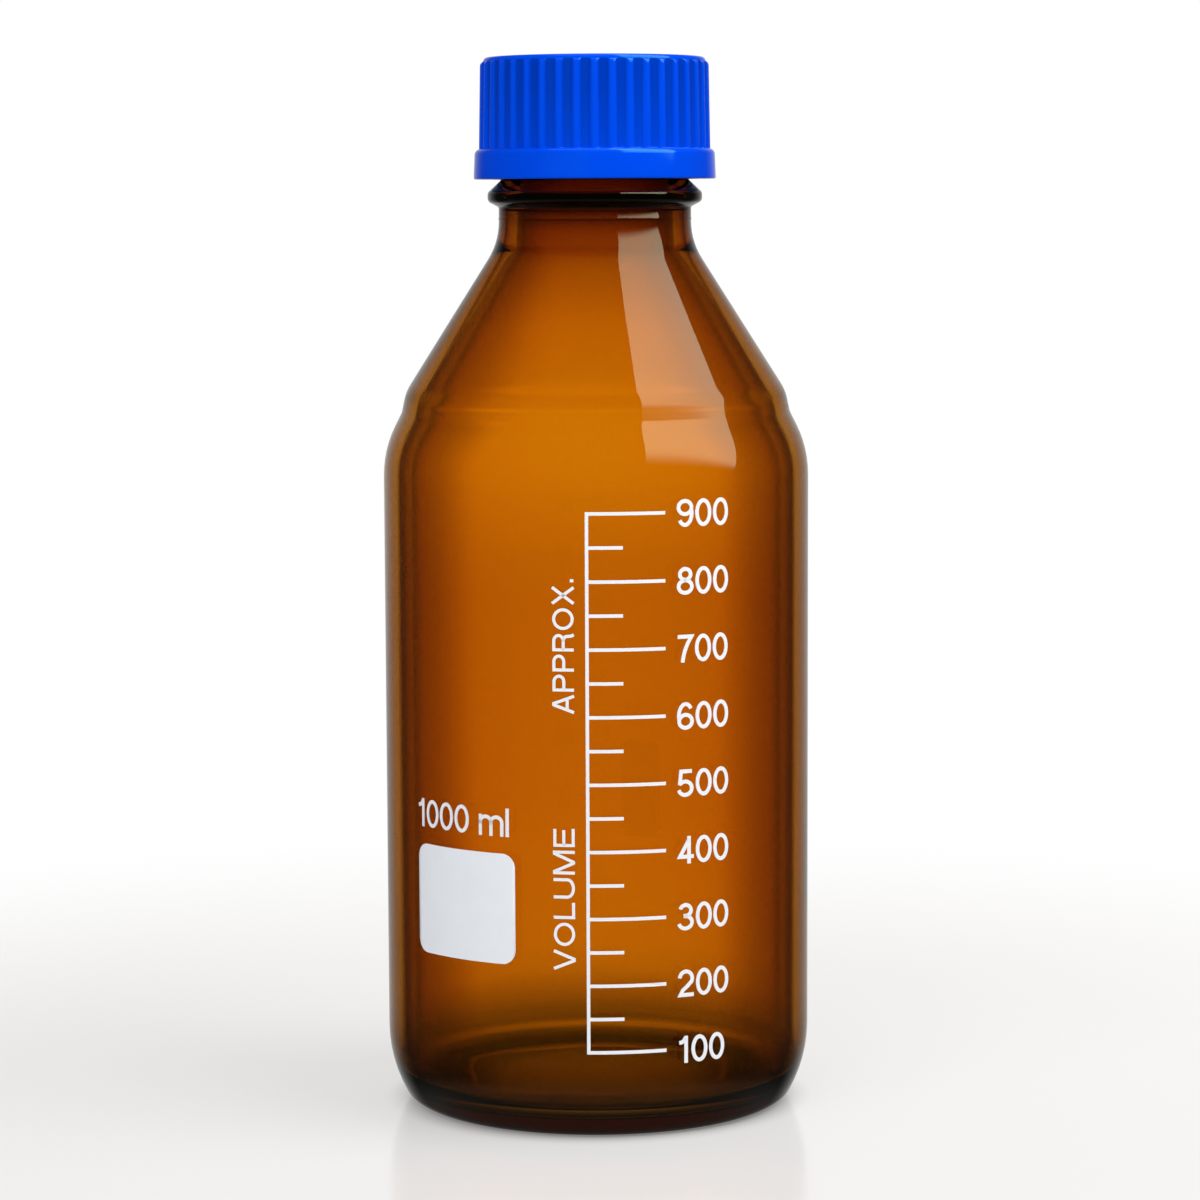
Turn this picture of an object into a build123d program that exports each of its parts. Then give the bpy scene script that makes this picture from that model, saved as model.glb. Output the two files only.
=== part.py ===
from build123d import *
import os
from math import acos, ceil, degrees, hypot, radians, tan

# Round laboratory media bottle of blown amber glass with a ribbed screw cap.
# Millimetres, +Z up, origin at the middle of the base. The printed side faces -Y.

# Glass, outside
BODY_RADIUS = 48.25
STAND_RADIUS = 43.2       # where the heel slope would reach the bench
FOOT_ROUND = 4.5
HEEL_HEIGHT = 9.5         # where the heel slope would reach the side
HEEL_ROUND = 32.0
SIDE_HEIGHT = 149.5       # where the shoulder slope would leave the side
SHOULDER_ROUND = 25.0
SHOULDER_RISE = 8.3       # from the side up to the crease
SHOULDER_SLOPE = 28.0     # degrees in from upright
BAND_RISE = 4.7           # steep band from the crease up to the ridge
BAND_SLOPE = 9.0
RIDGE_ROUND = 17.0
CONE_SLOPE = 32.3
NECK_RADIUS = 21.75
NECK_ROUND = 16.0
NECK_RISE = 7.75          # from the top of the cone up to the bead
BEAD_RADIUS = 24.25
BEAD_UNDERSIDE = 1.3      # rise of the bead's lower flank
BEAD_BAND = 2.0
BEAD_FLANK = 42.5         # degrees up from level
BEAD_ROUND = 1.3
FINISH_RADIUS = 21.2      # glass inside the cap, at the root of the thread
FINISH_RISE = 16.5
LIP_RADIUS = 19.0
LIP_STEP = 1.4
LIP_RISE = 4.6

# Glass, inside
SIDE_WALL = 3.0
SHOULDER_WALL = 3.0
CONE_WALL = 3.4
NECK_WALL = 4.0
MOUTH_RADIUS = 15.0
FLOOR_THICKNESS = 3.8
FLOOR_ROUND = 7.0

# Recess under the base
PUNT_RISE = 2.5
PUNT_FLAT_RADIUS = 20.0
STAND_WIDTH = 4.4

# Pouring ring clipped over the lip
RING_FIT = 0.05
RING_SKIRT = 0.9
RING_DEPTH = 4.0
RING_TOP = 1.2
DRIP_EDGE = 0.8           # how far the pouring edge stands out past the skirt
RING_OVERHANG = 0.4       # how far the ring stays back from the mouth

# Seal disc inside the cap
LINER_THICKNESS = 1.5
LINER_CLEARANCE = 0.3

# Screw cap
CAP_BORE_RADIUS = 22.75   # root of the cap's thread
CAP_WALL = 2.3            # at the top, in the groove between two ribs
CAP_TOP_WALL = 2.2
CAP_GAP = 0.15            # from the cap's rim up from the glass bead
CAP_EDGE_ROUND = 1.4
CAP_DRAFT = 1.0           # degrees
RIB_COUNT = 40
RIB_RADIUS = 1.1
RIB_SIDES = 10            # flats of a whole round
RIB_HEIGHT = 0.7          # how far a rib stands out of the groove
RIB_DROP = 1.45           # from the cap's top down to the end of a rib
RIB_TAPER = 0.8           # height over which a rib runs back into its groove
FLANGE_RISE = 6.8
FLANGE_WIDTH = 1.95       # past the bottom of the grooves
FLANGE_ROUND = 0.9
FLANGE_DRAFT = 2.4        # degrees
LEAD_IN = 0.8             # chamfer at the mouth of the cap

# Fired white enamel on the side; angles are turned from the front, to the right
ENAMEL = 0.12
LINE_WIDTH = 0.75
SCALE_ANGLE = -2.9
LOWEST_MARK = 20.2
MARK_STEP = 14.77
MARK_COUNT = 9
LONG_MARK = 17.6          # length along the glass
SHORT_MARK = 8.2
PANEL_ANGLE = -38.6
PANEL_WIDTH = 28.1
PANEL_HEIGHT = 24.5
PANEL_LEVEL = 51.3
PANEL_ROUND = 3.2

FRONT = -90.0             # direction of -Y, in degrees from +X
TRUE_TO_ARC = 0.15        # how far the short straight runs of a rounding may stray from its arc


def step_in(point, rise, slope):
    """The point a rise higher, after leaning in at a slope from upright."""
    return (point[0] - rise * tan(radians(slope)), point[1] + rise)


def shifted(start, end, wall):
    """A wall's inner line: a point on it and its direction, for an outer line that runs up."""
    run = end[0] - start[0]
    rise = end[1] - start[1]
    length = hypot(run, rise)
    point = (start[0] - wall * rise / length, start[1] + wall * run / length)
    return point, (run / length, rise / length)


def inner_corner(below, corner, above, wall_below, wall_above):
    """Where the inner lines of two neighbouring stretches of wall meet."""
    first, along = shifted(below, corner, wall_below)
    second, other = shifted(corner, above, wall_above)
    cross = along[0] * other[1] - along[1] * other[0]
    gap = (second[0] - first[0], second[1] - first[1])
    reach = (gap[0] * other[1] - gap[1] * other[0]) / cross
    return (first[0] + reach * along[0], first[1] + reach * along[1])


def corner_setback(corners, index):
    """Distance from a corner to where its rounding starts."""
    before = Vector(*corners[index - 1][:2])
    here = Vector(*corners[index][:2])
    after = Vector(*corners[(index + 1) % len(corners)][:2])
    turn = (here - before).get_angle(after - here)
    return corners[index][2] * tan(radians(turn / 2))


def lathe_profile(corners):
    """Closed face in the XZ plane from (radius, height, rounding) corners.

    A rounding is turned as a few short straight runs, and it has to fit the runs beside it.
    """
    points = []
    for index, (radius, height, rounding) in enumerate(corners):
        here = Vector(radius, height)
        if rounding == 0:
            points.append(here)
            continue
        back = (Vector(*corners[index - 1][:2]) - here).normalized()
        ahead = (Vector(*corners[(index + 1) % len(corners)][:2]) - here).normalized()
        setback = corner_setback(corners, index)
        turn = 180 - back.get_angle(ahead)
        count = ceil(turn / degrees(2 * acos(1 - TRUE_TO_ARC / rounding)))
        arc = TangentArc(here + back * setback, here + ahead * setback, tangent=-back)
        points += [arc @ (step / count) for step in range(count + 1)]
    return Plane.XZ * make_face(Polyline(*points, close=True))


# Levels and corners that several pieces share
heel = (BODY_RADIUS, HEEL_HEIGHT)
shoulder = (BODY_RADIUS, SIDE_HEIGHT)
crease = step_in(shoulder, SHOULDER_RISE, SHOULDER_SLOPE)
ridge = step_in(crease, BAND_RISE, BAND_SLOPE)
cone_rise = (ridge[0] - NECK_RADIUS) / tan(radians(CONE_SLOPE))
neck = (NECK_RADIUS, ridge[1] + cone_rise)
bead_foot = (NECK_RADIUS, neck[1] + NECK_RISE)
bead_low = (BEAD_RADIUS, bead_foot[1] + BEAD_UNDERSIDE)
bead_high = (BEAD_RADIUS, bead_low[1] + BEAD_BAND)
bead_top = bead_high[1] + (BEAD_RADIUS - FINISH_RADIUS) * tan(radians(BEAD_FLANK))
finish_top = bead_top + FINISH_RISE
lip_foot = finish_top + LIP_STEP
lip_top = lip_foot + LIP_RISE
ring_top = lip_top + RING_TOP
liner_top = ring_top + LINER_THICKNESS
cap_bottom = bead_top + CAP_GAP
cap_top = liner_top + CAP_TOP_WALL
flange_top = cap_bottom + FLANGE_RISE


def glass_bottle():
    """One blown piece: body, shoulder, cone, neck and finish, open at the mouth."""
    outside = [
        (STAND_RADIUS, 0, FOOT_ROUND),
        (*heel, HEEL_ROUND),
        (*shoulder, SHOULDER_ROUND),
        (*crease, 0),
        (*ridge, RIDGE_ROUND),
        (*neck, NECK_ROUND),
        (*bead_foot, 0),
        (*bead_low, BEAD_ROUND),
        (*bead_high, BEAD_ROUND),
        (FINISH_RADIUS, bead_top, 0),
        (FINISH_RADIUS, finish_top, 0),
        (LIP_RADIUS, lip_foot, 0),
        (LIP_RADIUS, lip_top, 0),
    ]
    inner_neck = inner_corner(ridge, neck, bead_foot, CONE_WALL, NECK_WALL)
    floor = PUNT_RISE + FLOOR_THICKNESS
    inside = [
        (MOUTH_RADIUS, lip_top, 0),
        (MOUTH_RADIUS, bead_top, 0),
        (inner_neck[0], bead_foot[1], 0),
        (*inner_neck, 0),
        (*inner_corner(crease, ridge, neck, SHOULDER_WALL, CONE_WALL), 0),
        (*inner_corner(shoulder, crease, ridge, SHOULDER_WALL, SHOULDER_WALL), 0),
        (*inner_corner(heel, shoulder, crease, SIDE_WALL, SHOULDER_WALL), SHOULDER_ROUND),
        (BODY_RADIUS - SIDE_WALL, FLOOR_THICKNESS, FLOOR_ROUND),
        (PUNT_FLAT_RADIUS, floor, 0),
        (0, floor, 0),
    ]
    underside = [
        (0, PUNT_RISE, 0),
        (PUNT_FLAT_RADIUS, PUNT_RISE, 0),
        (STAND_RADIUS - STAND_WIDTH, 0, 0),
    ]
    return revolve(lathe_profile(outside + inside + underside), Axis.Z)


def pouring_ring():
    """Drip-free ring over the lip: a clip skirt, a flat top and a thin pouring edge."""
    skirt_inside = LIP_RADIUS + RING_FIT
    skirt_outside = skirt_inside + RING_SKIRT
    edge = skirt_outside + DRIP_EDGE
    section = [
        (MOUTH_RADIUS + RING_OVERHANG, lip_top, 0),
        (skirt_inside, lip_top, 0),
        (skirt_inside, lip_top - RING_DEPTH, 0),
        (skirt_outside, lip_top - RING_DEPTH, 0),
        (skirt_outside, lip_top - DRIP_EDGE, 0),
        (edge, lip_top, 0),
        (edge, ring_top, 0),
        (MOUTH_RADIUS + RING_OVERHANG, ring_top, 0),
    ]
    return revolve(lathe_profile(section), Axis.Z)


def cap_liner():
    """Soft seal disc that lies on the pouring ring under the cap's top."""
    radius = CAP_BORE_RADIUS - LINER_CLEARANCE
    level = Pos(0, 0, ring_top)
    return level * Cylinder(radius, LINER_THICKNESS, align=(Align.CENTER, Align.CENTER, Align.MIN))


def screw_cap():
    """Ribbed cap with a smooth flange, hollow to the root of its thread."""
    groove_top = CAP_BORE_RADIUS + CAP_WALL
    skirt_rise = cap_top - flange_top
    groove_bottom = groove_top + skirt_rise * tan(radians(CAP_DRAFT))
    flange_radius = groove_bottom + FLANGE_WIDTH
    section = [
        (0, cap_top, 0),
        (groove_top, cap_top, CAP_EDGE_ROUND),
        (groove_bottom, flange_top, 0),
        (flange_radius - FLANGE_RISE * tan(radians(FLANGE_DRAFT)), flange_top, FLANGE_ROUND),
        (flange_radius, cap_bottom, 0),
        (CAP_BORE_RADIUS + LEAD_IN, cap_bottom, 0),
        (CAP_BORE_RADIUS, cap_bottom + LEAD_IN, 0),
        (CAP_BORE_RADIUS, liner_top, 0),
        (0, liner_top, 0),
    ]
    shell = revolve(lathe_profile(section), Axis.Z)
    return shell + rib_crown(groove_bottom)


def rib_crown(groove_bottom):
    """Half-sunk round ribs that lean in with the draft and taper into the grooves at the top."""
    root = flange_top - FLANGE_RISE / 2
    end = cap_top - RIB_DROP
    slope = tan(radians(CAP_DRAFT))
    axis_radius = groove_bottom + RIB_HEIGHT - RIB_RADIUS
    foot = Pos(axis_radius + (flange_top - root) * slope, 0, root) * Rot(0, -CAP_DRAFT, 0)
    rib = foot * extrude(RegularPolygon(RIB_RADIUS, RIB_SIDES), cap_top - root)
    crest = groove_bottom + 2 * RIB_HEIGHT
    end_radius = groove_bottom - (end - flange_top) * slope
    envelope = revolve(lathe_profile([
        (CAP_BORE_RADIUS + CAP_WALL / 2, root, 0),
        (crest, root, 0),
        (crest, end - RIB_TAPER * (crest - end_radius) / RIB_HEIGHT, 0),
        (end_radius, end, 0),
        (CAP_BORE_RADIUS + CAP_WALL / 2, end, 0),
    ]), Axis.Z)
    ribs = Part() + [Rot(0, 0, 360 * turn / RIB_COUNT) * rib for turn in range(RIB_COUNT)]
    return ribs & envelope


def turned(length):
    """Degrees around the glass for a length along it."""
    return degrees(length / BODY_RADIUS)


def enamel_patch(start, sweep, low, high):
    """Thin raised patch on the side of the body, from a start angle through a sweep."""
    section = Plane.XZ * Pos(BODY_RADIUS + ENAMEL / 2, (low + high) / 2) * Rectangle(ENAMEL, high - low)
    return Rot(0, 0, FRONT + start) * revolve(section, Axis.Z, sweep)


def graduation_scale():
    """Upright line with a long mark each hundred millilitres and a short one between."""
    highest = LOWEST_MARK + (MARK_COUNT - 1) * MARK_STEP
    half = LINE_WIDTH / 2
    scale = enamel_patch(SCALE_ANGLE, turned(LINE_WIDTH), LOWEST_MARK - half, highest + half)
    for mark in range(2 * MARK_COUNT - 1):
        level = LOWEST_MARK + mark * MARK_STEP / 2
        length = SHORT_MARK if mark % 2 else LONG_MARK
        scale += enamel_patch(SCALE_ANGLE, turned(length), level - half, level + half)
    return scale


def marking_panel():
    """Plain writing field with round corners."""
    sweep = turned(PANEL_WIDTH)
    low = PANEL_LEVEL - PANEL_HEIGHT / 2
    panel = enamel_patch(PANEL_ANGLE - sweep / 2, sweep, low, low + PANEL_HEIGHT)
    corners = panel.edges().filter_by(lambda edge: edge.length < 2 * ENAMEL)
    return fillet(corners, PANEL_ROUND)


os.makedirs("parts", exist_ok=True)
for piece in (glass_bottle, pouring_ring, cap_liner, screw_cap, graduation_scale, marking_panel):
    export_step(piece(), f"parts/{piece.__name__}.step")
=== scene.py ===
import bmesh
import bpy
from math import atan2, ceil, cos, hypot, pi, radians, sin, sqrt, tan
from mathutils import Matrix, Vector


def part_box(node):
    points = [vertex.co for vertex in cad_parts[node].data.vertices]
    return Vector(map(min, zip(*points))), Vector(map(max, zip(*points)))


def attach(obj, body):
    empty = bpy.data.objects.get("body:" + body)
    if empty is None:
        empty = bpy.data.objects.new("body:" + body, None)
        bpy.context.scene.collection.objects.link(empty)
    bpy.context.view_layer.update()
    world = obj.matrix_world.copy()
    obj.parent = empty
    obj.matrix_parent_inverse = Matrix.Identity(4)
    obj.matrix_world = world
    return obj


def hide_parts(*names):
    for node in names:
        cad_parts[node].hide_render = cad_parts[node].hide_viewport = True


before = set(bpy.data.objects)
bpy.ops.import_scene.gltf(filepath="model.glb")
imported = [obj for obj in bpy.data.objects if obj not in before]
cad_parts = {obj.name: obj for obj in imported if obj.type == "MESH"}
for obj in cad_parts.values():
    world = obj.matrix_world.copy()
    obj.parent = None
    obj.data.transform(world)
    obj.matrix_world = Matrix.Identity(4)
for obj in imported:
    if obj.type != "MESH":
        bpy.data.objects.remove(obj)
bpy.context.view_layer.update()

bl_info = {
    "name": "Round media bottle",
    "version": (1, 0, 0),
    "blender": (4, 5, 0),
    "location": "3D Viewport > Sidebar > Media Bottle",
    "description": "Amber glass laboratory bottle with a fired white scale and a ribbed screw cap",
    "category": "Object",
}

MM = 0.001
FLOOR_DROP = 0.00005
SHARP_ANGLE = radians(35.0)
GLASS_STEPS = 192         # facets round the glass
THREAD_ROWS = 72          # rows of the threaded glass that the helix is raised from
RIB_STEPS = 18            # facets from the middle of one groove to the next
THREAD_STEPS = 96         # facets in a turn of the cap's thread
TABLE_STEPS = 96


def size_prop(label, text, value):
    """A length in metres, given here in millimetres."""
    return bpy.props.FloatProperty(
        name=label, description=text, default=value * MM, min=0.0, precision=5,
        subtype="DISTANCE", unit="LENGTH")


def angle_prop(label, text, value):
    """An angle, given here in degrees."""
    return bpy.props.FloatProperty(
        name=label, description=text, default=radians(value), subtype="ANGLE", unit="ROTATION")


def colour_prop(label, text, value):
    """A linear colour."""
    return bpy.props.FloatVectorProperty(
        name=label, description=text, default=value, min=0.0, max=1.0, size=3, subtype="COLOR")


def factor_prop(label, text, value, high=1.0):
    """A plain number."""
    return bpy.props.FloatProperty(
        name=label, description=text, default=value, min=0.0, max=high, precision=3)


class GlassSettings(bpy.types.PropertyGroup):
    """Outline and colour of the blown glass."""

    body_radius: size_prop("Body radius", "Outside radius of the straight side", 48.25)
    stand_radius: size_prop("Stand radius", "Where the heel slope would reach the bench", 43.2)
    foot_round: size_prop("Foot round", "Rounding from the heel to the bench", 4.5)
    heel_height: size_prop("Heel height", "Where the heel slope would reach the side", 9.5)
    heel_round: size_prop("Heel round", "Rounding from the side to the heel slope", 32.0)
    side_height: size_prop("Side height", "Where the shoulder slope would leave the side", 149.5)
    shoulder_round: size_prop("Shoulder round", "Rounding from the side to the shoulder", 25.0)
    shoulder_rise: size_prop("Shoulder rise", "From the side up to the crease", 8.3)
    shoulder_slope: angle_prop("Shoulder slope", "Lean of the shoulder from upright", 28.0)
    crease_flow: size_prop("Crease flow", "How far glass has flowed into the crease", 0.22)
    crease_round: size_prop("Crease round", "Rounding in the crease", 3.0)
    band_rise: size_prop("Band rise", "Steep band from the crease to the ridge", 4.7)
    band_slope: angle_prop("Band slope", "Lean of the band from upright", 9.0)
    ridge_round: size_prop("Ridge round", "Rounding from the band to the cone", 11.0)
    cone_slope: angle_prop("Cone slope", "Lean of the cone from upright", 32.3)
    neck_radius: size_prop("Neck radius", "Outside radius of the neck under the bead", 21.75)
    neck_round: size_prop("Neck round", "Hollow rounding from the cone to the neck", 16.0)
    neck_rise: size_prop("Neck rise", "From the top of the cone up to the bead", 7.75)
    seam_drop: size_prop("Seam drop", "From the bead down to the mould's seam on the neck", 2.6)
    seam_height: size_prop("Seam height", "How far the seam stands out", 0.13)
    bead_radius: size_prop("Bead radius", "Outside radius of the bead", 24.25)
    bead_underside: size_prop("Bead underside", "Rise of the bead's lower flank", 1.3)
    bead_band: size_prop("Bead band", "Height of the bead's outside", 2.0)
    bead_flank: angle_prop("Bead flank", "Upper flank of the bead, up from level", 42.5)
    bead_round: size_prop("Bead round", "Rounding of the bead", 1.3)
    finish_radius: size_prop("Finish radius", "Glass at the root of the thread", 21.2)
    finish_rise: size_prop("Finish rise", "Height of the threaded glass", 16.5)
    lip_radius: size_prop("Lip radius", "Outside radius of the lip", 19.0)
    lip_step: size_prop("Lip step", "Rise of the step under the lip", 1.4)
    lip_rise: size_prop("Lip rise", "Height of the lip", 4.6)
    lip_round: size_prop("Lip round", "Rounding of the lip", 1.5)
    soft_corner: size_prop("Soft corner", "Rounding of the small corners", 0.6)
    side_wall: size_prop("Side wall", "Thickness of the side", 3.0)
    shoulder_wall: size_prop("Shoulder wall", "Thickness of the shoulder", 3.0)
    cone_wall: size_prop("Cone wall", "Thickness of the cone", 3.4)
    neck_wall: size_prop("Neck wall", "Thickness of the neck", 4.0)
    mouth_radius: size_prop("Mouth radius", "Radius of the bore", 15.0)
    floor_thickness: size_prop("Floor thickness", "Thickness of the base", 3.8)
    floor_round: size_prop("Floor round", "Inside rounding from the side to the floor", 7.0)
    inner_round: size_prop("Inner round", "Rounding of the inside", 9.0)
    punt_rise: size_prop("Punt rise", "Depth of the recess under the base", 2.5)
    punt_flat: size_prop("Punt flat", "Radius of the flat part of the recess", 20.0)
    punt_round: size_prop("Punt round", "Rounding of the recess", 60.0)
    stand_width: size_prop("Stand width", "From the heel slope in to the recess", 4.4)
    stand_round: size_prop("Stand round", "Rounding at the edge of the recess", 2.0)
    thread_pitch: size_prop("Thread pitch", "Rise of the thread in one turn", 4.0)
    thread_height: size_prop("Thread height", "How far the thread stands out of the glass", 1.15)
    thread_start: size_prop("Thread start", "Level where the glass thread begins", 213.6)
    thread_turns: factor_prop("Thread turns", "Length of the glass thread in turns", 2.0, 5.0)
    through: colour_prop("Colour in depth", "What passes a metre of weak glass", (0.975, 0.925, 0.0))
    depth: factor_prop("Depth", "Strength of the colour in depth", 800.0, 10000.0)


class CapSettings(bpy.types.PropertyGroup):
    """Ribbed screw cap, its seal disc and the pouring ring."""

    bore_radius: size_prop("Bore radius", "Inside radius at the root of the thread", 22.75)
    wall: size_prop("Wall", "Wall at the top, in a groove", 2.3)
    top_wall: size_prop("Top wall", "Thickness of the top", 2.2)
    gap: size_prop("Gap", "From the cap's rim to the glass bead", 0.15)
    edge_round: size_prop("Edge round", "Rounding of the top edge", 2.0)
    draft: angle_prop("Draft", "Lean of the skirt", 1.0)
    rib_count: bpy.props.IntProperty(name="Ribs", description="Number of ribs", default=40, min=3)
    rib_radius: size_prop("Rib radius", "Roundness of a rib", 1.1)
    rib_height: size_prop("Rib height", "How far a rib stands out of the groove", 0.7)
    rib_drop: size_prop("Rib drop", "From the top down to the end of a rib", 0.95)
    rib_blend: size_prop("Rib blend", "Softness of the corner between rib and groove", 0.22)
    flange_rise: size_prop("Flange rise", "Height of the smooth flange", 6.8)
    flange_width: size_prop("Flange width", "Flange past the bottom of the grooves", 1.95)
    flange_round: size_prop("Flange round", "Rounding of the flange's upper edge", 1.3)
    flange_draft: angle_prop("Flange draft", "Lean of the flange", 2.4)
    rim_round: size_prop("Rim round", "Rounding of the lower rim", 0.4)
    lead_in: size_prop("Lead-in", "Chamfer at the mouth of the cap", 0.8)
    thread_height: size_prop("Thread height", "How far the cap's thread stands in", 1.1)
    thread_start: size_prop("Thread start", "Level where the cap's thread begins", 213.2)
    thread_turns: factor_prop("Thread turns", "Length of the cap's thread in turns", 2.0, 5.0)
    colour: colour_prop("Colour", "Moulded plastic", (0.0, 0.065, 0.79))
    seal_colour: colour_prop("Seal colour", "Seal disc", (0.82, 0.82, 0.79))


class PrintSettings(bpy.types.PropertyGroup):
    """Fired enamel on the side of the glass."""

    thickness: size_prop("Thickness", "How far the enamel stands out", 0.12)
    sink: size_prop("Sink", "How far the enamel is fired into the glass", 0.03)
    lowest: size_prop("Lowest mark", "Level of the lowest mark", 20.2)
    step: size_prop("Mark step", "Rise from one long mark to the next", 14.77)
    numeral_height: size_prop("Numeral height", "Height of the numerals", 6.05)
    numeral_angle: angle_prop("Numeral angle", "Where the numerals begin, from the front", 21.15)
    word_height: size_prop("Word height", "Height of the upright words", 4.7)
    word_angle: angle_prop("Word angle", "Where the upright words stand, from the front", -5.85)
    capacity_angle: angle_prop("Capacity angle", "Where the capacity begins", -55.6)
    capacity_level: size_prop("Capacity level", "Level of the foot of the capacity", 67.3)
    capacity_height: size_prop("Capacity height", "Height of the capacity's figures", 6.3)
    colour: colour_prop("Colour", "Fired enamel", (0.9, 0.92, 0.96))


class StudioSettings(bpy.types.PropertyGroup):
    """Camera, lamps and background."""

    camera_place: bpy.props.FloatVectorProperty(
        name="Camera place", description="Where the camera stands", size=3,
        default=(0.000784, -0.8683, 0.2059), subtype="TRANSLATION", unit="LENGTH")
    camera_pitch: angle_prop("Camera pitch", "How far the camera looks down", 6.0)
    camera_roll: angle_prop("Camera roll", "Lean of the camera", -0.24)
    lens: bpy.props.FloatProperty(
        name="Lens", description="Focal length in millimetres", default=114.6, min=1.0)
    key_power: factor_prop("Key power", "Large soft lamp, high on the right", 25.0, 500.0)
    fill_power: factor_prop("Fill power", "Soft lamp in front on the left", 9.0, 500.0)
    sky: factor_prop("Sky", "Light from all round on plain surfaces", 0.4, 5.0)
    table: factor_prop("Table", "Paleness of the table", 0.35)
    table_glow: factor_prop("Table glow", "What keeps the table as white as the backdrop", 0.47)
    table_radius: bpy.props.FloatProperty(
        name="Table radius", description="Size of the round table", default=0.4, unit="LENGTH")
    gloss_sky: factor_prop("Gloss sky", "Brightness of the room in reflections", 0.03, 5.0)
    ceiling: factor_prop("Ceiling", "Brightness of the ceiling in reflections", 0.9, 5.0)
    backdrop: factor_prop("Backdrop", "Brightness of the backdrop along the glass's edges", 0.6, 5.0)


class BottleSettings(bpy.types.PropertyGroup):
    """All settings of the bottle."""

    glass: bpy.props.PointerProperty(type=GlassSettings)
    cap: bpy.props.PointerProperty(type=CapSettings)
    enamel: bpy.props.PointerProperty(type=PrintSettings)
    studio: bpy.props.PointerProperty(type=StudioSettings)


# Shader maths


class Sock:
    """A node socket that arithmetic can be written with."""

    def __init__(self, tree, socket):
        self.tree = tree
        self.socket = socket

    def math(self, operation, *others):
        return self.tree.node("ShaderNodeMath", {"operation": operation}, *[self, *others])

    def __add__(self, other):
        return self.math("ADD", other)

    def __mul__(self, other):
        return self.math("MULTIPLY", other)

    def __sub__(self, other):
        return self.math("SUBTRACT", other)

    def __rsub__(self, other):
        return self.tree.node("ShaderNodeMath", {"operation": "SUBTRACT"}, other, self)

    def __pow__(self, other):
        return self.math("POWER", other)

    __radd__ = __add__
    __rmul__ = __mul__


class Tree:
    """Builds the nodes of one material or world."""

    def __init__(self, owner):
        owner.use_nodes = True
        self.nodes = owner.node_tree.nodes
        self.links = owner.node_tree.links
        self.nodes.clear()

    def node(self, kind, settings=None, *inputs, out=0, **named):
        """A node from its type, settings and the values or links of its sockets."""
        made = self.nodes.new(kind)
        for key, value in (settings or {}).items():
            if key == "stops":
                self.set_stops(made.color_ramp, value)
            else:
                setattr(made, key, value)
        wanted = [*enumerate(inputs), *((key.replace("_", " "), value) for key, value in named.items())]
        for key, value in wanted:
            socket = made.inputs[key]
            if isinstance(value, Sock):
                self.links.new(value.socket, socket)
            elif isinstance(value, (tuple, list, Vector)) and len(value) < len(socket.default_value):
                socket.default_value = (*value, 1.0)
            else:
                socket.default_value = value
        return Sock(self, made.outputs[out])

    @staticmethod
    def set_stops(ramp, stops):
        while len(ramp.elements) < len(stops):
            ramp.elements.new(0.5)
        for element, (place, colour) in zip(ramp.elements, stops):
            element.position = place
            element.color = (*colour, 1.0)

    def mix(self, factor, low, high, blend="MIX"):
        """Colour mix."""
        made = self.nodes.new("ShaderNodeMix")
        made.data_type, made.blend_type = "RGBA", blend
        for name, value in (("Factor", factor), ("A", low), ("B", high)):
            socket = next(s for s in made.inputs if s.name == name and s.type in
                          (("VALUE",) if name == "Factor" else ("RGBA",)))
            if isinstance(value, Sock):
                self.links.new(value.socket, socket)
            elif name == "Factor":
                socket.default_value = value
            else:
                socket.default_value = (*value, 1.0)
        return Sock(self, next(s for s in made.outputs if s.type == "RGBA"))

    def place(self):
        """The object's own place, in metres."""
        return self.node("ShaderNodeTexCoord", out=3)

    def axis(self, place, index):
        """One of a place's three coordinates."""
        return self.node("ShaderNodeSeparateXYZ", None, place, out=index)

    def reach(self, place):
        """How far a place is from the origin."""
        return self.node("ShaderNodeVectorMath", {"operation": "LENGTH"}, place, out=1)

    def ease(self, value, low, high, *ends):
        """Eases from 0 to 1, or between two ends, as a value goes from low to high."""
        return self.node("ShaderNodeMapRange", {"interpolation_type": "SMOOTHSTEP"}, value, low, high, *ends)

    def noise(self, scale, detail=2.0, roughness=0.5, stretch=(1.0, 1.0, 1.0)):
        """Noise in the object's own place, in features per metre."""
        place = self.node("ShaderNodeMapping", None, self.place(), Scale=stretch)
        return self.node("ShaderNodeTexNoise", None, Vector=place, Scale=scale, Detail=detail,
                         Roughness=roughness)

    def bump(self, height, strength, distance):
        return self.node("ShaderNodeBump", None, Strength=strength, Distance=distance, Height=height)

    def finish(self, surface, volume=None, output="Material"):
        made = self.nodes.new("ShaderNodeOutput" + output)
        self.links.new(surface.socket, made.inputs["Surface"])
        if volume is not None:
            self.links.new(volume.socket, made.inputs["Volume"])


def dimmed(colour, share):
    """A colour with all its channels taken down to a share."""
    return tuple(channel * share for channel in colour)


TINT_SPAN = 250.0         # millimetres of height that the ramp of tints covers
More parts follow.
